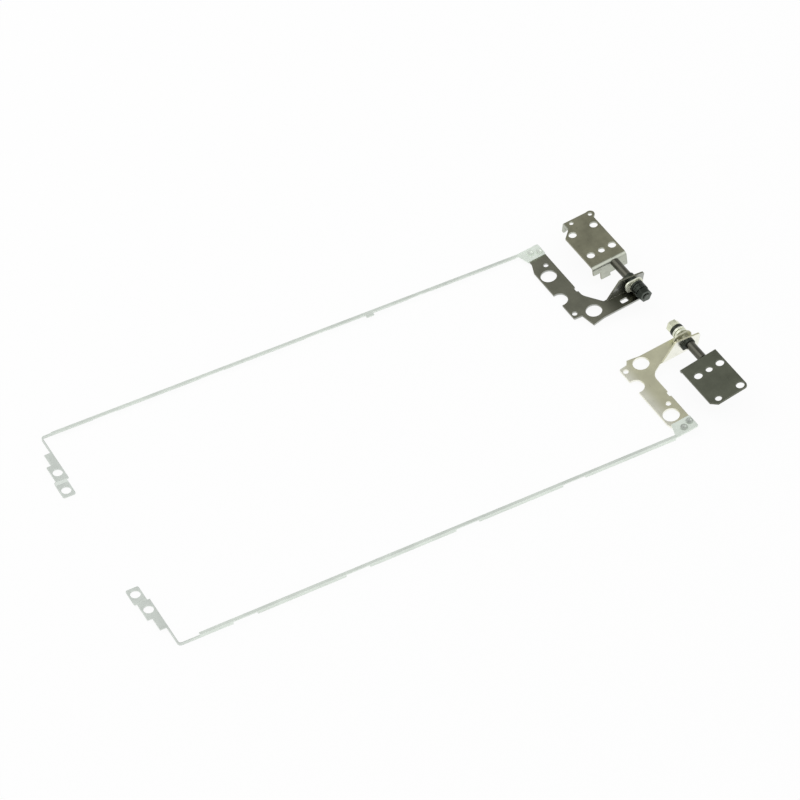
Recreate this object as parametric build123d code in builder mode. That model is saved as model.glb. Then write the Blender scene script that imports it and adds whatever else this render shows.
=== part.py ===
from build123d import *
import os
from dataclasses import dataclass
from math import cos, radians, sin

# A pair of laptop lid hinges lying on a table, as they come out of the lid.
# X runs along the rails towards the hinge axes, Y along the axes, Z up.
# "Inward" is measured from the outer face of a rail towards the other hinge.

# The pair
rail_spacing = 116.6      # between the outer faces of the two rails
bracket_tilt = 9.0        # lid brackets rise from the rails by this angle, in degrees

# Clearances
running_gap = 0.05        # radial, round a turning shaft
seat_gap = 0.02           # radial, round a fixed pin, and between pressed rings
face_gap = 0.04           # axial, between faces that rub

# Rails, folded from thin sheet
rail_sheet = 0.5
rail_height = 1.5
strip_width = 1.3
rail_run = 207.2          # from the corner at the far end to the bend at the pad
flange_gap = 9.8
flange_gap_pitch = 45.3
flange_gap_count = 4
first_gap = 45.0          # from the bend to the middle of the first gap
flange_end = 0.6          # from the bend to the end of the flange
neck_bend = 1.2
right_neck = 4.2          # bare neck between the corner and the strip
left_neck = 8.5
clip_at = 69.5            # from the bend to the clip on the right rail
clip_length = 3.2
clip_reach = 1.5

# Tabs at the far ends of the rails
tab_start = 9.4
tab_neck_width = 3.2
tab_shoulder = 15.6
tab_width = 5.1
tab_joggle = 24.2
tab_joggle_run = 1.2
tab_joggle_drop = 0.6
tab_shift = 0.8
tab_end = 32.2
tab_corner = 0.7
tab_hole = 3.8
tab_hole_near = 19.9
tab_hole_far = 29.1

# Pads at the hinge ends of the rails, riveted to the lid brackets
pad_length = 9.0
pad_width = 6.4
pad_overhang = 0.6
pad_taper = 1.4
pad_corner = 0.8
rivet_shank = 1.6
rivet_head = 3.0
rivet_head_height = 0.35
rivet_head_taper = 20.0   # in degrees
rivet_foot = 2.3
rivet_foot_height = 0.25
rivet_setback = 2.65      # middle of the two rivets, back from the pad's end
rivet_inward = 3.25
rivet_stagger_x = 3.3
rivet_stagger_y = 1.4

# Lid brackets, stamped and folded
bracket_sheet = 0.8
arm_outer = 8.5           # outer edge of the long arm, back from the pad's end
arm_inner = 0.5           # inner edge, ahead of the pad's end
arm_root = 6.8
arm_start = 0.8
arm_shoulder_run = 4.6
right_shoulder = 7.6
left_shoulder = 3.0
notch_at = 30.5
notch_radius = 3.3
notch_depth = 4.0
inner_step = 0.7
inner_step_run = 2.6
right_step_at = 29.8
left_step_at = 20.0
right_tab_short = 6.2     # tab ends this far short of the inward edge
left_tab_short = 1.4
tab_back = 5.0
tab_slope = 0.4
corner_back = 3.8
corner_front = 1.5
corner_rise = 0.9
right_fold = 41.5
left_fold = 34.6
right_arm_width = 7.2     # short arm, from the fold to its inward edge
left_arm_width = 8.1
arm_end = 22.8
fold_start = 5.6
right_inner_bend = 33.8
left_inner_bend = 31.6
inner_bend_radius = 5.0
bracket_corner = 0.6
large_hole = 6.5
large_hole_back = 4.7
right_large_hole = 17.2
left_large_hole = 10.8
corner_hole = 6.5
right_corner_hole = 43.4
left_corner_hole = 39.2
locating_hole = 2.2
locating_back = 6.9
locating_inset = 2.2      # from the end of the tab
small_hole_back = 2.5
small_hole = 2.1
right_small_hole = 11.5
left_small_hole = 16.1
arm_slot = 3.2
arm_slot_width = 2.2
arm_slot_corner = 0.7
arm_slot_at = 12.3
arm_slot_inset = 4.5
ear_back = 5.1            # upper corners of the ear, from the axis
ear_back_rise = 3.0
ear_front = 5.9
ear_front_rise = 1.2
ear_corner = 0.7
fold_radius = 0.6
axis_ahead = 18.6         # axis from the pad's end, along the bracket
axis_rise = 3.9           # axis above the bracket's upper face

# Base plates, which screw to the laptop's base
plate_sheet = 0.8
plate_rise = 1.9          # upper face above the axis
right_plate_back = 9.9
left_plate_back = 10.4
plate_front = 5.6
right_plate_bend = 1.6     # outer radius of the bend into the flange
left_plate_bend = 0.9
right_plate_length = 28.2
left_plate_length = 22.9
right_leaf_tilt = 8.0     # how each plate stands against the rails
left_leaf_tilt = 14.0
right_plate_edge = 29.7   # flange face, inward of the rail
left_plate_edge = 24.1
screw_row = 7.0           # from the flange
right_far_row = 7.5       # second row, from the plate's far edge
left_far_row = 2.2
screw_pitch = 9.8
screw_back = 6.5
screw_hole = 3.3
pin_hole = 2.7
pin_back = 1.6
left_chamfer = 2.4
left_round = 1.6
waist_length = 7.6
waist_depth = 3.5
lug_radius = 1.9
lip_angle = 77.0          # lip against the plate, in degrees
lip_length = 3.6
lip_tip = 1.2
lip_drop = 3.7
eyelet_hole = 1.8
eyelet_inset = 1.7
eyelet_back = 3.5
eyelet_front = 5.2
right_flange_depth = 4.0  # all depths from the plate's upper face
left_flange_depth = 1.7
right_flange_tab = 7.9
left_flange_tab = 4.6
flange_shaft_depth = 6.3
flange_tab_back = 6.6
flange_tab_front = 2.4

# Shafts and what is stacked on them
shaft_diameter = 3.6
spigot_diameter = 2.0
shaft_head = 3.4
shaft_head_height = 0.5
shank_diameter = 3.0
shank_flats = 2.5
thread_diameter = 2.8
thread_chamfer = 0.2
thread_end = 0.8
collar_diameter = 4.6
collar_length = 1.5
collar_lug_reach = 3.4
collar_lug_width = 2.4
collar_lug_corner = 0.6
friction_plate_sheet = 0.7
friction_plate_back = 4.4
friction_plate_front = 3.4
friction_plate_height = 5.2
friction_plate_round = 2.2
friction_foot = 3.0
friction_foot_at = 1.0
friction_hub = 4.2
friction_hub_length = 0.5
friction_eye = 1.0
friction_eye_back = 2.9
friction_eye_rise = 0.6
friction_washer_diameter = 4.2
friction_washer_length = 1.8
spring_diameter = 5.6
spring_sheet = 0.45
spring_cone = 0.22
spring_count = 4
spring_bore = 3.2
pressure_washer_diameter = 5.6
pressure_washer_length = 1.4
nut_width = 4.8
nut_length = 3.2
nut_chamfer = 0.35


@dataclass
class Hinge:
    """The values in which the two hinges of the pair differ."""
    name: str
    side: int
    neck: float
    shoulder: float
    step_at: float
    tab_short: float
    inner_bend: float
    fold: float
    arm_width: float
    large_hole_at: float
    corner_hole_at: float
    small_hole_at: float
    leaf_tilt: float
    plate_edge: float
    plate_back: float
    plate_length: float
    plate_bend: float
    flange_depth: float
    flange_tab: float
    far_row: float
    far_hole: float

    def across(self, inward):
        """Y of a place that lies inward of the outer face of the rail."""
        return self.side * (rail_spacing / 2 - inward)

    def inward_direction(self):
        return (0, -self.side, 0)


right = Hinge(
    name="right",
    side=1,
    neck=right_neck,
    shoulder=right_shoulder,
    step_at=right_step_at,
    tab_short=right_tab_short,
    inner_bend=right_inner_bend,
    fold=right_fold,
    arm_width=right_arm_width,
    large_hole_at=right_large_hole,
    corner_hole_at=right_corner_hole,
    small_hole_at=right_small_hole,
    leaf_tilt=right_leaf_tilt,
    plate_edge=right_plate_edge,
    plate_back=right_plate_back,
    plate_length=right_plate_length,
    plate_bend=right_plate_bend,
    flange_depth=right_flange_depth,
    flange_tab=right_flange_tab,
    far_row=right_far_row,
    far_hole=screw_hole,
)
left = Hinge(
    name="left",
    side=-1,
    neck=left_neck,
    shoulder=left_shoulder,
    step_at=left_step_at,
    tab_short=left_tab_short,
    inner_bend=left_inner_bend,
    fold=left_fold,
    arm_width=left_arm_width,
    large_hole_at=left_large_hole,
    corner_hole_at=left_corner_hole,
    small_hole_at=left_small_hole,
    leaf_tilt=left_leaf_tilt,
    plate_edge=left_plate_edge,
    plate_back=left_plate_back,
    plate_length=left_plate_length,
    plate_bend=left_plate_bend,
    flange_depth=left_flange_depth,
    flange_tab=left_flange_tab,
    far_row=left_far_row,
    far_hole=pin_hole,
)


def tilted(angle):
    """Directions along and out of a sheet that rises towards +X by an angle."""
    turn = radians(angle)
    return (cos(turn), 0, sin(turn)), (-sin(turn), 0, cos(turn))


# Places that both hinges share, with the middle of the pair at X zero
along_bracket, out_of_bracket = tilted(bracket_tilt)
along_lug = tilted(right_leaf_tilt)[0]
strip_under = rail_height - rail_sheet
neck_height = rail_sheet + tab_joggle_drop
reach_back = pad_length * along_bracket[0] + rail_run - rail_sheet + tab_shift + tab_width
axis_reach = axis_ahead * along_bracket[0] - axis_rise * along_bracket[2]
lug_tip = (eyelet_front + lug_radius) * along_lug[0] - (plate_rise - plate_sheet) * along_lug[2]
pad_end = Vector((reach_back - axis_reach - lug_tip) / 2, 0, strip_under + pad_length * along_bracket[2])
bend_x = pad_end.X - pad_length * along_bracket[0]
corner_x = bend_x - rail_run
bracket_plane = Plane(origin=pad_end, x_dir=along_bracket, z_dir=out_of_bracket)
axis_place = bracket_plane.from_local_coords((axis_ahead, 0, axis_rise))


def facing_inward(hinge, inward, direction):
    """A plane square to the hinge axis, its origin on the axis and its x along a sheet."""
    origin = (axis_place.X, hinge.across(inward), axis_place.Z)
    return Plane(origin=origin, x_dir=direction, z_dir=hinge.inward_direction())


def upright(hinge):
    """Sign that turns a height above the axis into the local y of facing_inward."""
    return hinge.side


def outline(hinge, points):
    """A closed outline from places given as along and inward."""
    Polygon(*[(along, hinge.across(inward)) for along, inward in points], align=None)


# Where the rings on a shaft begin, inward of the ear's face
ear_end = bracket_sheet
friction_washer_start = ear_end + face_gap
friction_plate_start = friction_washer_start + friction_washer_length + face_gap
friction_plate_end = friction_plate_start + friction_plate_sheet + friction_hub_length
springs_start = friction_plate_end + face_gap
spring_step = spring_sheet + spring_cone + seat_gap
pressure_washer_start = springs_start + spring_count * spring_step
nut_start = pressure_washer_start + pressure_washer_length + seat_gap
shaft_end = nut_start + nut_length + thread_end

rivet_places = [
    (-rivet_setback + rivet_stagger_x / 2, rivet_inward + rivet_stagger_y / 2),
    (-rivet_setback - rivet_stagger_x / 2, rivet_inward - rivet_stagger_y / 2),
]


def rail(hinge):
    """Rail along the side of the display, with its end tab, neck, strip and pad."""
    strip_start = corner_x + hinge.neck
    wall_inner = corner_x + rail_sheet
    tab_level = neck_height - rail_sheet
    shift_start = tab_joggle + tab_joggle_run
    with BuildPart() as body:
        # Strip and the flange that hangs from its outer edge
        with BuildSketch(Plane.XY.offset(strip_under)):
            outline(hinge, [
                (strip_start, 0), (bend_x, 0), (bend_x, strip_width), (strip_start, strip_width),
            ])
        extrude(amount=rail_sheet)
        with BuildSketch(Plane.XY):
            flange_stop = bend_x - flange_end
            outline(hinge, [
                (strip_start, 0), (flange_stop, 0), (flange_stop, rail_sheet), (strip_start, rail_sheet),
            ])
        extrude(amount=rail_height)
        with BuildSketch(Plane.XY):
            for gap in range(flange_gap_count):
                middle = bend_x - first_gap - gap * flange_gap_pitch
                with Locations((middle, hinge.across(rail_sheet / 2))):
                    Rectangle(flange_gap, 2 * rail_sheet)
        extrude(amount=strip_under, mode=Mode.SUBTRACT)
        # Neck round the corner of the display
        with BuildSketch(Plane.XY):
            with BuildLine():
                FilletPolyline(
                    (strip_start, hinge.across(rail_sheet / 2)),
                    (corner_x + rail_sheet / 2, hinge.across(rail_sheet / 2)),
                    (corner_x + rail_sheet / 2, hinge.across(tab_shoulder)),
                    radius=neck_bend,
                )
                offset(amount=rail_sheet / 2, side=Side.BOTH)
            make_face()
        extrude(amount=neck_height)
        # End tab, upper level and the level below its joggle
        with BuildSketch(Plane.XY.offset(tab_level)):
            outline(hinge, [
                (wall_inner, tab_start), (wall_inner, tab_joggle), (wall_inner - tab_width, tab_joggle),
                (wall_inner - tab_width, tab_shoulder), (wall_inner - tab_neck_width, tab_shoulder),
                (wall_inner - tab_neck_width, tab_start),
            ])
            with Locations((wall_inner - tab_width / 2, hinge.across(tab_hole_near))):
                Circle(tab_hole / 2, mode=Mode.SUBTRACT)
        extrude(amount=rail_sheet)
        with BuildSketch(Plane.YZ.offset(wall_inner - tab_shift - tab_width)):
            Polygon(
                (hinge.across(tab_joggle), tab_level + rail_sheet),
                (hinge.across(tab_joggle), tab_level),
                (hinge.across(shift_start), tab_level - tab_joggle_drop),
                (hinge.across(tab_end), tab_level - tab_joggle_drop),
                (hinge.across(tab_end), tab_level - tab_joggle_drop + rail_sheet),
                (hinge.across(shift_start), tab_level - tab_joggle_drop + rail_sheet),
                align=None,
            )
        extrude(amount=tab_width)
        with BuildSketch(Plane.XY):
            with Locations((wall_inner - tab_shift - tab_width / 2, hinge.across(tab_hole_far))):
                Circle(tab_hole / 2)
        extrude(amount=neck_height, mode=Mode.SUBTRACT)
        tab_corners = body.edges().filter_by(Axis.Z).group_by(Axis.Y)[0 if hinge.side > 0 else -1]
        fillet(tab_corners, radius=tab_corner)
        # Pad, bent up from the strip to lie on the lid bracket
        with BuildSketch(bracket_plane) as pad:
            outline(hinge, [
                (-pad_length, 0), (pad_overhang, 0), (pad_overhang, pad_width),
                (-pad_length + pad_taper, pad_width), (-pad_length, strip_width),
            ])
            fillet(pad.vertices().group_by(Axis.X)[-1], radius=pad_corner)
            for place, inward in rivet_places:
                with Locations((place, hinge.across(inward))):
                    Circle(rivet_shank / 2 + seat_gap, mode=Mode.SUBTRACT)
        extrude(amount=rail_sheet)
        if hinge.side > 0:
            with BuildSketch(Plane.XY.offset(strip_under)):
                clip_x = bend_x - clip_at
                outline(hinge, [
                    (clip_x, strip_width), (clip_x + clip_length, strip_width),
                    (clip_x + clip_length, strip_width + clip_reach), (clip_x, strip_width + clip_reach),
                ])
            extrude(amount=rail_sheet)
    return body.part


def rail_rivets(hinge):
    """Two rivets that hold the rail's pad to the lid bracket."""
    with BuildPart() as body:
        with BuildSketch(bracket_plane.offset(-bracket_sheet)):
            for place, inward in rivet_places:
                with Locations((place, hinge.across(inward))):
                    Circle(rivet_shank / 2)
        extrude(amount=bracket_sheet + rail_sheet)
        with BuildSketch(bracket_plane.offset(rail_sheet)):
            for place, inward in rivet_places:
                with Locations((place, hinge.across(inward))):
                    Circle(rivet_head / 2)
        extrude(amount=rivet_head_height, taper=rivet_head_taper)
        with BuildSketch(bracket_plane.offset(-bracket_sheet)):
            for place, inward in rivet_places:
                with Locations((place, hinge.across(inward))):
                    Circle(rivet_foot / 2)
        extrude(amount=-rivet_foot_height)
    return body.part


def lid_bracket(hinge):
    """Stamped bracket that screws to the lid, with its ear folded up for the shaft."""
    inward_edge = hinge.fold + hinge.arm_width
    tab_reach = inward_edge - hinge.tab_short
    with BuildPart() as body:
        with BuildSketch(bracket_plane) as blank:
            outline(hinge, [
                (-arm_root, arm_start), (-arm_root, hinge.shoulder),
                (-arm_outer, hinge.shoulder + arm_shoulder_run), (-arm_outer, tab_reach),
                (-tab_back, tab_reach + tab_slope), (-corner_back, inward_edge + corner_rise),
                (corner_front, inward_edge), (arm_end, inward_edge), (arm_end, hinge.fold),
                (fold_start, hinge.fold), (arm_inner, hinge.inner_bend), (arm_inner, arm_start),
            ])
            inner_corner = (arm_inner, hinge.across(hinge.inner_bend))
            fillet(blank.vertices().sort_by_distance(inner_corner)[0], radius=inner_bend_radius)
            fillet(blank.vertices().group_by(Axis.X)[0], radius=bracket_corner)
            fillet(blank.vertices().group_by(Axis.X)[-1], radius=bracket_corner)
            with Locations((-arm_outer - notch_radius + notch_depth, hinge.across(notch_at))):
                Circle(notch_radius, mode=Mode.SUBTRACT)
            with Locations((arm_inner, hinge.across(hinge.step_at))):
                SlotOverall(inner_step_run, 2 * inner_step, rotation=90, mode=Mode.SUBTRACT)
            with Locations((-large_hole_back, hinge.across(hinge.large_hole_at))):
                Circle(large_hole / 2, mode=Mode.SUBTRACT)
            with Locations((0, hinge.across(hinge.corner_hole_at))):
                Circle(corner_hole / 2, mode=Mode.SUBTRACT)
            with Locations((-locating_back, hinge.across(tab_reach - locating_inset))):
                Circle(locating_hole / 2, mode=Mode.SUBTRACT)
            with Locations((-small_hole_back, hinge.across(hinge.small_hole_at))):
                Circle(small_hole / 2, mode=Mode.SUBTRACT)
            if hinge.side > 0:
                with Locations((arm_slot_at, hinge.across(hinge.fold + arm_slot_inset))):
                    RectangleRounded(arm_slot, arm_slot_width, arm_slot_corner, mode=Mode.SUBTRACT)
            for place, inward in rivet_places:
                with Locations((place, hinge.across(inward))):
                    Circle(rivet_shank / 2 + seat_gap, mode=Mode.SUBTRACT)
        extrude(amount=-bracket_sheet)
        # Ear, with a gusset that runs down to the start of the fold
        up = upright(hinge)
        foot = axis_rise + bracket_sheet
        with BuildSketch(facing_inward(hinge, hinge.fold, along_bracket)) as ear:
            Polygon(
                (fold_start + bracket_corner - axis_ahead, -up * foot), (arm_end - axis_ahead, -up * foot),
                (ear_front, up * ear_front_rise), (-ear_back, up * ear_back_rise),
                align=None,
            )
            upper_corners = ear.vertices().sort_by(Axis.Y, reverse=up > 0)[:2]
            fillet(upper_corners, radius=ear_corner)
            Circle(shank_diameter / 2 + running_gap, mode=Mode.SUBTRACT)
        extrude(amount=bracket_sheet)
        fold_line = bracket_plane.from_local_coords((axis_ahead, hinge.across(hinge.fold), -bracket_sheet))
        fold_edges = body.edges().filter_by(Axis(axis_place, along_bracket))
        fillet(fold_edges.sort_by_distance(fold_line)[0], radius=fold_radius)
    return body.part


def base_plate(hinge):
    """Plate that screws to the laptop's base, its flange folded down to take the shaft."""
    along_leaf, out_of_leaf = tilted(hinge.leaf_tilt)
    leaf_plane = Plane(origin=(axis_place.X, 0, axis_place.Z), x_dir=along_leaf, z_dir=out_of_leaf)
    upper_face = leaf_plane.offset(plate_rise)
    far_edge = hinge.plate_edge - hinge.plate_length
    near_row = hinge.plate_edge - screw_row
    far_row = far_edge + hinge.far_row
    waist = -hinge.plate_back + waist_depth
    flange_low = plate_rise - hinge.flange_depth
    up = upright(hinge)
    with BuildPart() as body:
        with BuildSketch(upper_face) as blank:
            if hinge.side > 0:
                outline(hinge, [
                    (-hinge.plate_back, hinge.plate_edge), (plate_front, hinge.plate_edge),
                    (plate_front, far_edge), (waist, far_edge),
                    (waist, far_edge + waist_length - waist_depth),
                    (-hinge.plate_back, far_edge + waist_length),
                ])
                with Locations((eyelet_front, hinge.across(far_edge + eyelet_inset))):
                    Circle(lug_radius)
                for place in (-eyelet_back, eyelet_front):
                    with Locations((place, hinge.across(far_edge + eyelet_inset))):
                        Circle(eyelet_hole / 2, mode=Mode.SUBTRACT)
            else:
                outline(hinge, [
                    (-hinge.plate_back, hinge.plate_edge), (plate_front, hinge.plate_edge),
                    (plate_front, far_edge), (-hinge.plate_back, far_edge),
                ])
                chamfer(blank.vertices().group_by(Axis.Y)[0].sort_by(Axis.X)[0], length=left_chamfer)
                fillet(blank.vertices().group_by(Axis.Y)[0].sort_by(Axis.X)[-1], radius=left_round)
            for place, row, diameter in (
                (-screw_back, near_row, screw_hole), (screw_pitch - screw_back, near_row, screw_hole),
                (-screw_back, far_row, hinge.far_hole), (screw_pitch - screw_back, far_row, screw_hole),
                (-pin_back, near_row, pin_hole),
            ):
                with Locations((place, hinge.across(row))):
                    Circle(diameter / 2, mode=Mode.SUBTRACT)
        extrude(amount=-plate_sheet)
        # Flange, deepest beside the shaft
        with BuildSketch(facing_inward(hinge, hinge.plate_edge - plate_sheet, along_leaf)):
            Polygon(
                (-hinge.plate_back, up * plate_rise), (-hinge.plate_back, up * flange_low),
                (-flange_tab_back, up * flange_low),
                (-flange_tab_back, up * (plate_rise - hinge.flange_tab)),
                (-flange_tab_front, up * (plate_rise - hinge.flange_tab)),
                (-flange_tab_front, up * (plate_rise - flange_shaft_depth)),
                (plate_front, up * (plate_rise - flange_shaft_depth)), (plate_front, up * plate_rise),
                align=None,
            )
        extrude(amount=plate_sheet)
        with BuildSketch(facing_inward(hinge, hinge.plate_edge - plate_sheet, along_leaf)):
            Circle(spigot_diameter / 2 + seat_gap)
        extrude(amount=plate_sheet, mode=Mode.SUBTRACT)
        bend_line = upper_face.from_local_coords((0, hinge.across(hinge.plate_edge), 0))
        bend_edges = body.edges().filter_by(Axis(axis_place, along_leaf))
        fillet(bend_edges.sort_by_distance(bend_line)[0], radius=hinge.plate_bend)
        if hinge.side > 0:
            # Small lip folded down beside the waist
            out_of_lip = tilted(hinge.leaf_tilt + lip_angle)[1]
            lip_corner = upper_face.from_local_coords((waist, hinge.across(far_edge), 0))
            with BuildSketch(Plane(origin=lip_corner, x_dir=hinge.inward_direction(), z_dir=out_of_lip)):
                Polygon((0, 0), (lip_length, 0), (lip_tip, -lip_drop), (0, -lip_drop), align=None)
            extrude(amount=-plate_sheet)
    return body.part


def double_flat(diameter, flats):
    """Round section with two flats, as the keyed part of the shaft has it."""
    Circle(diameter / 2)
    Rectangle(diameter, flats, mode=Mode.INTERSECT)


def keyway():
    """Opening that fits over the keyed part of the shaft."""
    with BuildSketch(mode=Mode.PRIVATE) as opening:
        double_flat(shank_diameter + 2 * seat_gap, shank_flats + 2 * seat_gap)
    add(opening.sketch, mode=Mode.SUBTRACT)


def shaft(hinge):
    """Turned shaft, peened into the base plate's flange and threaded at its other end."""
    along_leaf = tilted(hinge.leaf_tilt)[0]
    collar_start = hinge.fold - face_gap - collar_length
    head_end = hinge.plate_edge - plate_sheet
    rounds = [
        (head_end, hinge.plate_edge, spigot_diameter),
        (hinge.plate_edge, collar_start, shaft_diameter),
        (hinge.fold + nut_start, hinge.fold + shaft_end, thread_diameter),
    ]
    with BuildPart() as body:
        for start, end, diameter in rounds:
            with BuildSketch(facing_inward(hinge, start, along_leaf)):
                Circle(diameter / 2)
            extrude(amount=end - start)
        # Peened head, flattened where it lies under the plate
        with BuildSketch(facing_inward(hinge, head_end - shaft_head_height, along_leaf)):
            double_flat(shaft_head, 2 * (plate_rise - plate_sheet - seat_gap))
        extrude(amount=shaft_head_height)
        with BuildSketch(facing_inward(hinge, collar_start, along_leaf)):
            double_flat(shank_diameter, shank_flats)
        extrude(amount=hinge.fold + nut_start - collar_start)
        tip = body.faces().sort_by(Axis.Y)[0 if hinge.side > 0 else -1]
        chamfer(tip.edges(), length=thread_chamfer)
    return body.part


def stop_collar(hinge):
    """Collar keyed to the shaft on the outer side of the ear, with the lug that stops the lid."""
    along_leaf = tilted(hinge.leaf_tilt)[0]
    start = hinge.fold - face_gap - collar_length
    with BuildPart() as body:
        with BuildSketch(facing_inward(hinge, start, along_leaf)):
            Circle(collar_diameter / 2)
            with Locations((-collar_lug_reach / 2, 0)):
                RectangleRounded(collar_lug_reach, collar_lug_width, collar_lug_corner)
            keyway()
        extrude(amount=collar_length)
    return body.part


def friction_plate(hinge):
    """Oblong plate with a hub, its foot on the bracket's arm so that it can't turn with the rings."""
    half_height = friction_plate_height / 2
    foot_reach = axis_rise - seat_gap
    up = upright(hinge)
    with BuildPart() as body:
        with BuildSketch(facing_inward(hinge, hinge.fold + friction_plate_start, along_bracket)) as blank:
            Polygon(
                (-friction_plate_back, -half_height), (friction_plate_front, -half_height),
                (friction_plate_front, half_height), (-friction_plate_back, half_height),
                align=None,
            )
            fillet(blank.vertices(), radius=friction_plate_round)
            with Locations((friction_foot_at, -up * foot_reach / 2)):
                Rectangle(friction_foot, foot_reach)
            with Locations((-friction_eye_back, up * friction_eye_rise)):
                Circle(friction_eye / 2, mode=Mode.SUBTRACT)
        extrude(amount=friction_plate_sheet)
        with BuildSketch(facing_inward(hinge, hinge.fold + friction_plate_start, along_bracket)):
            Circle(friction_hub / 2)
        extrude(amount=friction_plate_sheet + friction_hub_length)
        with BuildSketch(facing_inward(hinge, hinge.fold + friction_plate_start, along_bracket)):
            Circle(shank_diameter / 2 + running_gap)
        extrude(amount=friction_plate_sheet + friction_hub_length, mode=Mode.SUBTRACT)
    return body.part


def ring(hinge, start, length, diameter):
    """A flat washer keyed to the shaft."""
    along_leaf = tilted(hinge.leaf_tilt)[0]
    with BuildPart() as body:
        with BuildSketch(facing_inward(hinge, hinge.fold + start, along_leaf)):
            Circle(diameter / 2)
            keyway()
        extrude(amount=length)
    return body.part


def friction_washer(hinge):
    """Washer that turns with the shaft between the ear and the friction plate, and rubs on both."""
    return ring(hinge, friction_washer_start, friction_washer_length, friction_washer_diameter)


def spring_discs(hinge):
    """Coned discs, set rim to rim, that press the washers together."""
    outer = spring_diameter / 2
    inner = spring_bore / 2
    with BuildPart() as body:
        for disc in range(spring_count):
            start = hinge.fold + springs_start + disc * spring_step
            lean_in, lean_out = (spring_cone, 0) if disc % 2 else (0, spring_cone)
            with BuildSketch(Plane((axis_place.X, hinge.across(start), axis_place.Z))):
                Polygon(
                    (inner, -hinge.side * lean_in), (outer, -hinge.side * lean_out),
                    (outer, -hinge.side * (lean_out + spring_sheet)),
                    (inner, -hinge.side * (lean_in + spring_sheet)),
                    align=None,
                )
            revolve(axis=Axis(axis_place, (0, 1, 0)))
    return body.part


def pressure_washer(hinge):
    """Thick washer between the spring discs and the nut."""
    return ring(hinge, pressure_washer_start, pressure_washer_length, pressure_washer_diameter)


def shaft_nut(hinge):
    """Hexagon nut that sets the hinge's friction."""
    along_leaf = tilted(hinge.leaf_tilt)[0]
    with BuildPart() as body:
        with BuildSketch(facing_inward(hinge, hinge.fold + nut_start, along_leaf)):
            RegularPolygon(radius=nut_width / 2, side_count=6, major_radius=False)
        extrude(amount=nut_length)
        outer_face = body.faces().sort_by(Axis.Y)[0 if hinge.side > 0 else -1]
        chamfer(outer_face.edges(), length=nut_chamfer)
        with BuildSketch(facing_inward(hinge, hinge.fold + nut_start, along_leaf)):
            Circle(thread_diameter / 2 + seat_gap)
        extrude(amount=nut_length, mode=Mode.SUBTRACT)
    return body.part


os.makedirs("parts", exist_ok=True)
pieces = (rail, rail_rivets, lid_bracket, base_plate, shaft, stop_collar, friction_plate,
          friction_washer, spring_discs, pressure_washer, shaft_nut)
for hinge in (right, left):
    for make in pieces:
        piece = make(hinge)
        piece.label = f"{hinge.name}_{make.__name__}"
        export_step(piece, f"parts/{piece.label}.step")
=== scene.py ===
import math

import bpy
from mathutils import Matrix, Vector


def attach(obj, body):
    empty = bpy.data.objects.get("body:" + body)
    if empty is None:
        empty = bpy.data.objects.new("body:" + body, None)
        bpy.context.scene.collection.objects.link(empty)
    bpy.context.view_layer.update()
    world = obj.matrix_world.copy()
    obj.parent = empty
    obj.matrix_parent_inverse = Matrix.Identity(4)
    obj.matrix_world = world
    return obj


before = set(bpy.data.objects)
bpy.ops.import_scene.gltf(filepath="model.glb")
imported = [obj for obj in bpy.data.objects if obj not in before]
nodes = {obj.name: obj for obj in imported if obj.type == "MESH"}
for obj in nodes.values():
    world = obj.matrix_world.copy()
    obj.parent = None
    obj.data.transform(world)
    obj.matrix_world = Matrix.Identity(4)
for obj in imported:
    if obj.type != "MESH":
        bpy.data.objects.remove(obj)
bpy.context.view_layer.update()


# Rails: long strips of thin spring steel, cut and folded in one go, that run up both sides of the
# display. They are zinc plated, so the sheet is a pale, faintly green silver with a fine rolled
# grain along it, brightest on the pads, and painted bright where an edge was cut or folded, partly
# as wear and partly as a painted highlight.

class Tone:
    """A shader value. Sums and products of tones add the Math nodes that work them out."""

    def __init__(self, tree, socket=None):
        self.tree = tree
        self.socket = socket

    def node(self, kind, settings=None, inputs=None, output=0):
        """Adds a node of this kind, sets it, feeds its sockets and gives one of its outputs."""
        made = self.tree.nodes.new(kind)
        for name, value in (settings or {}).items():
            setattr(made, name, value)
        for name, value in (inputs or {}).items():
            if isinstance(value, Tone):
                self.tree.links.new(value.socket, made.inputs[name])
            else:
                made.inputs[name].default_value = value
        return Tone(self.tree, made.outputs[output])

    def reckon(self, operation, first, second):
        return self.node("ShaderNodeMath", {"operation": operation}, {0: first, 1: second})

    def __add__(self, other):
        return self.reckon("ADD", self, other)

    __radd__ = __add__

    def __sub__(self, other):
        return self.reckon("SUBTRACT", self, other)

    def __rsub__(self, other):
        return self.reckon("SUBTRACT", other, self)

    def __mul__(self, other):
        return self.reckon("MULTIPLY", self, other)

    __rmul__ = __mul__

    def step(self, low, high):
        """Rises smoothly from 0 at low to 1 at high."""
        return self.node("ShaderNodeMapRange", {"interpolation_type": "SMOOTHSTEP"},
                         {"Value": self, "From Min": low, "From Max": high})

    def between(self, colour, other):
        """Goes from one colour at 0 to the other at 1."""
        return self.node("ShaderNodeMix", {"data_type": "RGBA"}, {0: self, 6: colour, 7: other},
                         output=2)

    def axis(self, letter):
        """One of the three parts of a vector."""
        return self.node("ShaderNodeSeparateXYZ", {}, {0: self}, output=letter)

    def feed(self, shader, socket):
        self.tree.links.new(self.socket, shader.inputs[socket])


def shade(colour, times=1.0):
    """A colour made darker or lighter, ready for a socket."""
    return [min(part * times, 1.0) for part in colour] + [1.0]


def new_finish(name, metallic):
    """An empty metal finish, its shader, and the tone of a place on the piece."""
    material = bpy.data.materials.new(name)
    material.use_nodes = True
    shader = material.node_tree.nodes["Principled BSDF"]
    shader.inputs["Metallic"].default_value = metallic
    return material, shader, Tone(material.node_tree).node("ShaderNodeTexCoord", output="Object")


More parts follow.
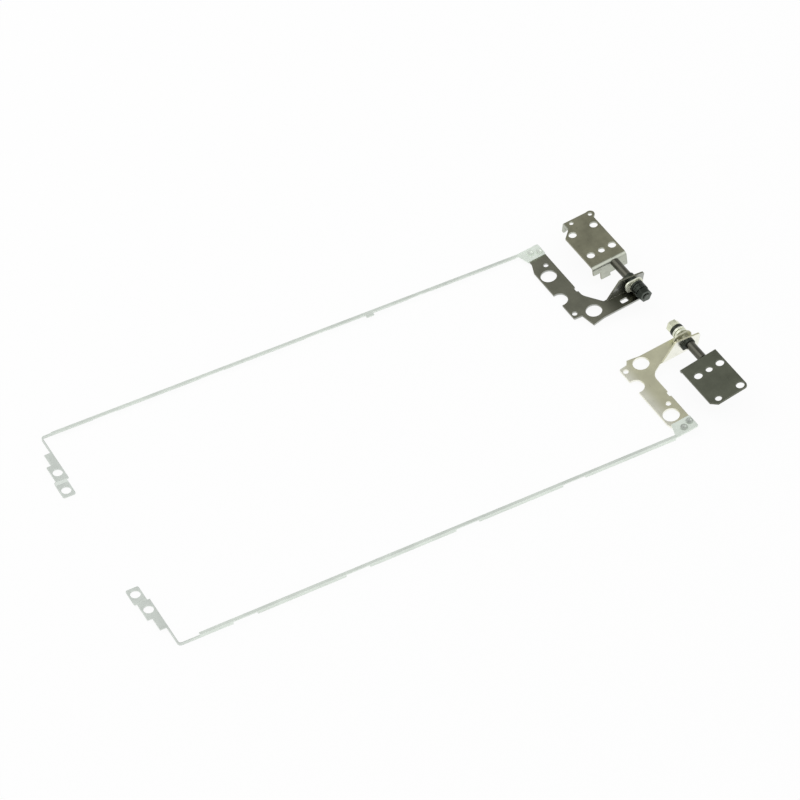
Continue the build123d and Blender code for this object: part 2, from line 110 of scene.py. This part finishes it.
def cloud(place, per_metre, detail=3.0, rough=0.55):
    """Cloudy values round one half, so many to the metre along each axis."""
    stretched = place.node("ShaderNodeMapping", {}, {"Vector": place, "Scale": per_metre})
    return place.node("ShaderNodeTexNoise", {},
                      {"Vector": stretched, "Scale": 1.0, "Detail": detail, "Roughness": rough})


def worn_and_painted_edges(place, radius):
    """The rounded normal near an edge, and how near to one a point lies."""
    rounded = place.node("ShaderNodeBevel", {"samples": 6}, {"Radius": radius})
    flat = place.node("ShaderNodeNewGeometry", output="Normal")
    turn = place.node("ShaderNodeVectorMath", {"operation": "DOT_PRODUCT"}, {0: rounded, 1: flat},
                      output="Value")
    return rounded, (1.0 - turn).step(0.01, 0.25)


def painted_table_reflection(place, start=-0.15, full=-0.70):
    """1 on faces that look to the front, towards -Y, from one slant of the face to another. These faces
    are painted paler, a painted reflection of the white table.
    """
    facing = place.node("ShaderNodeTexCoord", output="Normal")
    return facing.axis("Y").step(start, full)


def rolled_sheet(name, colour, edge_colour, roughness, grain_per_metre, mottle=0.12, metallic=1.0,
                 parts=()):
    """Plated sheet: rolled grain, faint patches in the plating, and cut edges in an edge colour of
    their own, partly wear and partly painted light along them. Each of its parts is a mask, 1 where
    the sheet gets another colour, and that colour."""
    material, shader, place = new_finish(name, metallic)
    rounded, edge = worn_and_painted_edges(place, 0.00013)
    grain = cloud(place, grain_per_metre, 4.0)
    patch = cloud(place, (110.0, 110.0, 110.0), 4.0, 0.6).step(0.25, 0.75)
    stain = cloud(place, (480.0, 480.0, 480.0), 3.0).step(0.58, 0.78)
    mottling = patch * 0.75 + grain * 0.25

    def mottled(plain):
        return mottling.between(shade(plain, 1.0 - mottle), shade(plain, 1.0 + mottle))

    tint = mottled(colour)
    for mask, other in parts:
        tint = mask(place).between(tint, mottled(other))
    tint = (stain * mottle * 2.0).between(tint, shade(colour, 0.55))
    # Cut edges take the edge colour: partly wear, partly painted light along them.
    edge.between(tint, shade(edge_colour)).feed(shader, "Base Color")
    (roughness + (grain - 0.5) * 0.10 + (patch - 0.5) * 0.08 + stain * 0.05 - edge * 0.05).feed(
        shader, "Roughness")
    place.node("ShaderNodeBump", {}, {"Strength": 0.05, "Distance": 0.00003, "Height": grain,
                                      "Normal": rounded}).feed(shader, "Normal")
    return material


def dress(material, *names):
    """Gives pieces of the frame their finish."""
    for name in names:
        slots = nodes[name].data.materials
        slots.clear()
        slots.append(material)


def paler_towards_pads(place):
    """0 on the dull end tabs, about half on the strips and 1 on the pads at the hinge ends."""
    along = place.axis("X")
    past_tabs, onto_pads = along.step(-0.116, -0.108), along.step(0.080, 0.091)
    return past_tabs * 0.5 + onto_pads * 0.5


zinc_strip = rolled_sheet("zinc_plated_strip", (0.68, 0.725, 0.68), (0.78, 0.81, 0.78), 0.42,
                          (70.0, 2600.0, 2600.0), 0.08, 0.75, [(paler_towards_pads, (0.85, 0.92, 0.84))])
dress(zinc_strip, "right_rail", "left_rail")


# Lid brackets: stamped from nickel-plated sheet and folded up into an ear that the shaft runs
# through. Both have one plating, painted dark on the right one and a pale champagne on the left one,
# as painted shade and painted reflection. The right one has painted shade on its arm next to the ear,
# by the dark stack. Faces and sheared edges that look to the front are painted paler, a painted
# reflection of the white table, and the left arm is painted paler towards its outer side, as
# painted light.

arm_grain = (2600.0, 70.0, 2600.0)
nickel_roughness = 0.32


def painted_shade_at_ear(place):
    """1 on the right bracket's short arm where it comes to the ear, but not on the ear itself: painted
    shade, darker by the dark stack.
    """
    near_ear = place.axis("X").step(0.1005, 0.1080)
    below_ear = place.axis("Z").step(0.0085, 0.0060)
    return near_ear * below_ear


# One plating for both brackets: on the right one it is painted dark, as painted shade.
nickel_painted_dark = rolled_sheet(
    "nickel_sheet_painted_dark", (0.200, 0.203, 0.156), (0.30, 0.30, 0.26), nickel_roughness, arm_grain,
    parts=[(painted_shade_at_ear, (0.090, 0.092, 0.070)), (painted_table_reflection, (0.39, 0.40, 0.37))])
dress(nickel_painted_dark, "right_lid_bracket")


def left_painted_light(place):
    """1 on the left bracket's front faces, rising to less than that along its arm's outer side: painted
    light, paler where the arm catches more light.
    """
    outer_side = place.axis("X").step(0.0955, 0.0895)
    return painted_table_reflection(place) + outer_side * 0.68


# The same plating, painted pale on the left bracket, as painted reflection.
nickel_painted_pale = rolled_sheet(
    "nickel_sheet_painted_pale", (0.67, 0.66, 0.475), (0.90, 0.90, 0.80), nickel_roughness, arm_grain, 0.07,
    parts=[(left_painted_light, (0.97, 0.97, 0.86))])
dress(nickel_painted_pale, "left_lid_bracket")


# Rivets: soft steel, plated like the rails and squeezed flat, that hold each rail's pad to its
# bracket. The punch leaves a dished ring on each head. Both pads have two of them, duller on the left.

def pressed_steel(name, colour, roughness, metallic):
    """Steel that was squeezed into shape: a little uneven all over, its rims painted bright, partly
    as wear and partly as a painted highlight.
    """
    material, shader, place = new_finish(name, metallic)
    rounded, edge = worn_and_painted_edges(place, 0.0001)
    dents = cloud(place, (900.0, 900.0, 900.0), 3.0)
    edge.between(dents.step(0.25, 0.75).between(shade(colour, 0.92), shade(colour, 1.05)),
                 shade(colour, 1.10)).feed(shader, "Base Color")
    (roughness + (dents - 0.5) * 0.12).feed(shader, "Roughness")
    place.node("ShaderNodeBump", {}, {"Strength": 0.10, "Distance": 0.00003, "Height": dents,
                                      "Normal": rounded}).feed(shader, "Normal")
    return material


rivet_roughness, rivet_metallic = 0.42, 0.7
bright_rivet = pressed_steel("bright_rivet_steel", (0.78, 0.84, 0.76), rivet_roughness, rivet_metallic)
dull_rivet = pressed_steel("dull_rivet_steel", (0.52, 0.56, 0.51), rivet_roughness, rivet_metallic)
dress(bright_rivet, "right_rail_rivets")
dress(dull_rivet, "left_rail_rivets")

pad_tilt = math.radians(9.0)
pad_end_x, pad_end_z = 0.0984252, 0.0024079
rail_face = 0.0583
head_top = 0.00085
rivet_places = ((-0.0010, 0.00395), (-0.0043, 0.00255))
ring_radius, ring_height = 0.00118, 0.00008
rim_width, slope_width, dish_width = 0.00012, 0.00030, 0.00035
slope_depth, dish_depth = 0.00006, 0.00001


def settle(piece, body, material):
    """Puts a piece's place into its mesh, and gives it its finish and the body it goes with."""
    bpy.ops.object.select_all(action="DESELECT")
    piece.select_set(True)
    bpy.context.view_layer.objects.active = piece
    bpy.ops.object.transform_apply(location=True, rotation=True, scale=True)
    piece.data.materials.clear()
    piece.data.materials.append(material)
    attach(piece, body)


def copy_of(piece, name):
    """Another of the same piece, with its own mesh."""
    twin = piece.copy()
    twin.data = piece.data.copy()
    twin.name = name
    bpy.context.collection.objects.link(twin)
    return twin


bpy.ops.object.select_all(action="DESELECT")
bpy.ops.mesh.primitive_circle_add(vertices=48, radius=ring_radius, fill_type="NGON")
punch_ring = bpy.context.object
bpy.ops.object.mode_set(mode="EDIT")
bpy.ops.mesh.select_all(action="SELECT")
bpy.ops.mesh.extrude_region_move(TRANSFORM_OT_translate={"value": (0.0, 0.0, ring_height)})
bpy.ops.mesh.inset(thickness=rim_width)
bpy.ops.mesh.inset(thickness=slope_width, depth=-slope_depth)
bpy.ops.mesh.inset(thickness=dish_width, depth=-dish_depth)
bpy.ops.mesh.select_all(action="SELECT")
bpy.ops.mesh.normals_make_consistent(inside=False)
bpy.ops.object.mode_set(mode="OBJECT")
bpy.ops.object.shade_smooth_by_angle(angle=math.radians(40.0))

for hinge, side, rivet_steel in (("right", 1, bright_rivet), ("left", -1, dull_rivet)):
    for count, (ahead, inward) in enumerate(rivet_places, 1):
        ring = copy_of(punch_ring, f"{hinge}_rivet_ring_{count}")
        ring.rotation_euler = (0.0, -pad_tilt, 0.0)
        ring.location = (
            pad_end_x + ahead * math.cos(pad_tilt) - head_top * math.sin(pad_tilt),
            side * (rail_face - inward),
            pad_end_z + ahead * math.sin(pad_tilt) + head_top * math.cos(pad_tilt),
        )
        settle(ring, "display_side", rivet_steel)
bpy.data.objects.remove(punch_ring)


# Base plates: thicker plated sheet, screwed to the laptop's base. The edge next to the shaft is
# folded down to hold the shaft. The plates are painted in colours of one plating, a dark bronze on
# the right one and nearly black on the left one, as painted light and shade from their tilts. The
# right plate's folded flange is painted paler, a painted reflection of the white table, and so is
# its lip, as a painted highlight where it curves down.


def flange_and_lip_painted_light(place):
    """1 on the right plate's flange, painted paler as a painted reflection of the white table, and on
    the small lip at its far end, a painted highlight where it curves down.
    """
    far_end = place.axis("Y").step(0.0530, 0.0533)
    outer_edge = place.axis("X").step(0.1101861, 0.1097861)
    return painted_table_reflection(place, -0.05, -0.40) + far_end * outer_edge


# One plating, painted bronze on the right plate as painted light.
nickel_painted_bronze = rolled_sheet(
    "nickel_sheet_painted_bronze", (0.275, 0.272, 0.192), (0.38, 0.38, 0.31), nickel_roughness, arm_grain, 0.20,
    parts=[(flange_and_lip_painted_light, (0.46, 0.48, 0.41))])
dress(nickel_painted_bronze, "right_base_plate")
# The same plating, painted nearly black on the left plate as painted shade.
nickel_painted_black = rolled_sheet(
    "nickel_sheet_painted_black", (0.136, 0.145, 0.109), (0.34, 0.35, 0.30), nickel_roughness, arm_grain)
dress(nickel_painted_black, "left_base_plate")


# Shafts: turned from steel bar, pressed into the plates and left dark with oil. Fine turning marks
# run round them. The thread at the end has the colour of the nut that it was plated with, and one
# ridge of it stands out of the nut. On the right shaft that end is painted paler, like the nut's end
# face, a painted reflection of the white table.

def turned_steel(name, colour, rim_colour, roughness, metallic=1.0, end=None, end_colour=None):
    """Turned steel: fine rings round the axis, rims in a rim colour, partly wear and partly a painted
    highlight, and maybe an end of another colour.
    """
    material, shader, place = new_finish(name, metallic)
    rounded, edge = worn_and_painted_edges(place, 0.00012)
    rings = cloud(place, (60.0, 5200.0, 60.0), 2.0)
    film = cloud(place, (420.0, 420.0, 420.0), 3.0).step(0.3, 0.7)
    tint = (rings * 0.5 + film * 0.5).between(shade(colour, 0.80), shade(colour, 1.20))
    if end:
        across = place.axis("Y")
        tint = across.step(*end).between(tint, shade(end_colour))
    edge.between(tint, shade(rim_colour)).feed(shader, "Base Color")
    (roughness + (film - 0.5) * 0.16 + (rings - 0.5) * 0.10).feed(shader, "Roughness")
    place.node("ShaderNodeBump", {}, {"Strength": 0.12, "Distance": 0.00003, "Height": rings,
                                      "Normal": rounded}).feed(shader, "Normal")
    return material


oiled_bar = (0.106, 0.105, 0.085)
oiled_rim = (0.28, 0.27, 0.24)
bar_roughness = 0.31
# Pale colour for the right end faces that look to the front: a painted reflection of the white table.
phosphate_painted_lit = (0.130, 0.145, 0.130)
right_bar = turned_steel("oiled_bar_dark_end", oiled_bar, oiled_rim, bar_roughness,
                         end=(0.0062, 0.0056), end_colour=phosphate_painted_lit)
left_bar = turned_steel("oiled_bar_bright_end", oiled_bar, oiled_rim, bar_roughness,
                        end=(-0.0131, -0.0125), end_colour=(0.80, 0.82, 0.64))
dress(right_bar, "right_shaft")
dress(left_bar, "left_shaft")

axis_x, axis_z = 0.1161861, 0.0091696
thread_root, thread_depth, thread_pitch = 0.00146, 0.00011, 0.00045

bpy.ops.object.select_all(action="DESELECT")
bpy.ops.mesh.primitive_circle_add(vertices=3, radius=thread_depth, fill_type="NOTHING")
thread_ridge = bpy.context.object
bpy.ops.object.mode_set(mode="EDIT")
bpy.ops.mesh.select_all(action="SELECT")
bpy.ops.transform.translate(value=(thread_root, 0.0, 0.0))
bpy.ops.object.mode_set(mode="OBJECT")
wind = thread_ridge.modifiers.new("wind", "SCREW")
wind.axis = "Y"
wind.screw_offset = -thread_pitch
wind.iterations = 1
wind.steps = wind.render_steps = 48
bpy.ops.object.modifier_apply(modifier="wind")
bpy.ops.object.mode_set(mode="EDIT")
bpy.ops.mesh.select_all(action="SELECT")
bpy.ops.mesh.fill_holes(sides=3)
bpy.ops.mesh.select_all(action="SELECT")
bpy.ops.mesh.normals_make_consistent(inside=False)
bpy.ops.object.mode_set(mode="OBJECT")
bpy.ops.object.shade_smooth_by_angle(angle=math.radians(35.0))

for hinge, start, half_turn, bar in (
    ("right", 0.00537, 0.0, right_bar), ("left", -0.01227, math.pi, left_bar),
):
    ridge = copy_of(thread_ridge, f"{hinge}_shaft_thread")
    ridge.rotation_euler = (0.0, 0.0, half_turn)
    ridge.location = (axis_x, start, axis_z)
    settle(ridge, f"{hinge}_leaf", bar)
bpy.data.objects.remove(thread_ridge)


# Stop collars: steel rings with a lug, blackened in a hot salt bath. They are keyed to the shaft on
# the outer side of the ear, and the lug ends the lid's travel.

black_oxide = turned_steel("black_oxide", (0.044, 0.050, 0.039), (0.13, 0.14, 0.12), 0.42, 0.9)
dress(black_oxide, "right_stop_collar", "left_stop_collar")


# Friction washers, spring discs and pressure washers: hardened rings threaded onto the keyed shaft.
# On the right hinge they are phosphated a greenish black. On the left one they are bright nickel,
# but for the friction washer at the ear, painted a dark olive as painted shade in the gap between
# plate and ear, and the black pressure washer under the nut.

phosphate, phosphate_rim, phosphate_roughness = (0.042, 0.049, 0.041), (0.18, 0.20, 0.17), 0.40
green_black = turned_steel("phosphated_black", phosphate, phosphate_rim, phosphate_roughness)
dress(green_black, "right_friction_washer", "right_spring_discs", "right_pressure_washer")
bright_ring = turned_steel("bright_nickel_ring", (0.80, 0.82, 0.68), (0.94, 0.94, 0.86), 0.36, 0.65)
# The left friction washer is painted a dark olive, a painted shade in the gap between plate and ear.
olive_painted_shade_ring = turned_steel("olive_ring_painted_shade", (0.30, 0.30, 0.21), (0.46, 0.46, 0.34), 0.40, 0.8)
dress(bright_ring, "left_spring_discs")
dress(olive_painted_shade_ring, "left_friction_washer")
dress(black_oxide, "left_pressure_washer")


# Friction plates: oblong blanks of bright nickel-plated sheet between the friction washer and the
# spring discs. Each stands with its foot on the bracket's short arm, so that it can't turn while the
# washers rub on it. The left one has an olive tinge, and its edges are painted darker, a painted
# shade line.

plate_grain = (2600.0, 2600.0, 70.0)
bright_sheet = rolled_sheet("bright_nickel_sheet", (0.78, 0.80, 0.66), (0.88, 0.88, 0.78), 0.36,
                            plate_grain, mottle=0.06, metallic=0.6)
# Its edge colour is darker than the sheet: a painted shade line along the plate's top edge.
olive_sheet = rolled_sheet("olive_nickel_sheet", (0.60, 0.60, 0.46), (0.40, 0.40, 0.29), 0.36,
                           plate_grain, mottle=0.06, metallic=0.6)
dress(bright_sheet, "right_friction_plate")
dress(olive_sheet, "left_friction_plate")


# Nuts: hexagon nuts of plated steel, turned down on the thread until the discs press hard enough,
# and then locked there. They have nearly the finish of the rings beside them. The right one's end
# face is painted paler, a painted reflection of the white table.

phosphate_black_painted_end = turned_steel("phosphated_black_painted_end", phosphate, phosphate_rim, phosphate_roughness,
                            end=(0.0059, 0.0055), end_colour=phosphate_painted_lit)
dress(phosphate_black_painted_end, "right_shaft_nut")
dull_bright = turned_steel("bright_nickel_nut", (0.70, 0.72, 0.55), (0.95, 0.95, 0.86), 0.28, 0.95)
dress(dull_bright, "left_shaft_nut")


# Table: a plain white sheet of paper that the hinges were laid on. It is seen as white, and darker
# only where they shade it.

table_width, table_height = 6.0, -0.00008
paper_lift = 0.92

bpy.ops.object.select_all(action="DESELECT")
bpy.ops.mesh.primitive_plane_add(size=table_width, location=(0.0, 0.0, table_height))
table = bpy.context.object
table.name = "table"
paper = bpy.data.materials.new("white_paper")
paper.use_nodes = True
paper_tree = paper.node_tree
sheet = paper_tree.nodes["Principled BSDF"]
sheet.inputs["Base Color"].default_value = (0.93, 0.93, 0.93, 1.0)
sheet.inputs["Roughness"].default_value = 0.9
sheet.inputs["Specular IOR Level"].default_value = 0.0
paper_tone = Tone(paper_tree)
seen = paper_tone.node("ShaderNodeLightPath", output="Is Camera Ray")
mirrored = paper_tone.node("ShaderNodeLightPath", output="Is Glossy Ray")
through = paper_tone.node("ShaderNodeLightPath", output="Is Transmission Ray")
white = paper_tone.node("ShaderNodeEmission", {}, {"Color": (1.0, 1.0, 1.0, 1.0), "Strength": 1.0})
lit = Tone(paper_tree, sheet.outputs["BSDF"])
lifted = (seen + mirrored + through) * paper_lift
surface = paper_tone.node("ShaderNodeMixShader", {}, {0: lifted, 1: lit, 2: white})
surface.feed(paper_tree.nodes["Material Output"], "Surface")
table.data.materials.append(paper)


# Light and camera: soft white light from all round, brighter near the table and in front overhead,
# with one large lamp at the back on the left. The camera stands where the photograph was taken.

front_overhead = (0.24, -0.50, 0.83)
low_glow, high_loss, front_gain = 0.95, 0.42, 0.85
lamp_place, lamp_width, lamp_watts = Vector((-0.555, 0.916, 1.020)), 1.3, 4.6
sensor_width, focal_pixels, photo_pixels = 36.0, 2998.41, 800.0
eye = (-0.38450726, -0.69222011, 0.79885371)
look = Vector((0.34730601, 0.61947179, -0.70401225))
aside = Vector((0.87226471, -0.48903402, 0.0))

studio = bpy.data.worlds.new("studio")
bpy.context.scene.world = studio
studio.use_nodes = True
sky = studio.node_tree
sky_tone = Tone(sky)
direction = sky_tone.node("ShaderNodeTexCoord", output="Generated")
height = direction.axis("Z")
in_view = sky_tone.node("ShaderNodeLightPath", output="Is Camera Ray")
frontward = sky_tone.node("ShaderNodeVectorMath", {"operation": "DOT_PRODUCT"},
                          {0: direction, 1: front_overhead}, output="Value")
glow = low_glow - height.step(-0.1, 0.9) * high_loss + frontward.step(0.72, 0.99) * front_gain
(in_view + (1.0 - in_view) * glow).feed(sky.nodes["Background"], "Strength")
sky.nodes["Background"].inputs["Color"].default_value = (1.0, 1.0, 1.0, 1.0)

bpy.ops.object.light_add(type="AREA", location=lamp_place)
lamp = bpy.context.object
lamp.name = "soft_key"
lamp.data.shape = "DISK"
lamp.data.size = lamp_width
lamp.data.energy = lamp_watts
lamp.rotation_euler = (-lamp_place).to_track_quat("-Z", "Y").to_euler()

bpy.ops.object.camera_add()
camera = bpy.context.object
camera.name = "photo_camera"
camera.data.lens = sensor_width * focal_pixels / photo_pixels
camera.data.sensor_width = sensor_width
camera.data.clip_start, camera.data.clip_end = 0.01, 20.0
turn = Matrix((aside, aside.cross(look), -look)).transposed().to_4x4()
camera.matrix_world = Matrix.Translation(eye) @ turn
bpy.context.scene.camera = camera
bpy.context.scene.view_settings.view_transform = "Standard"
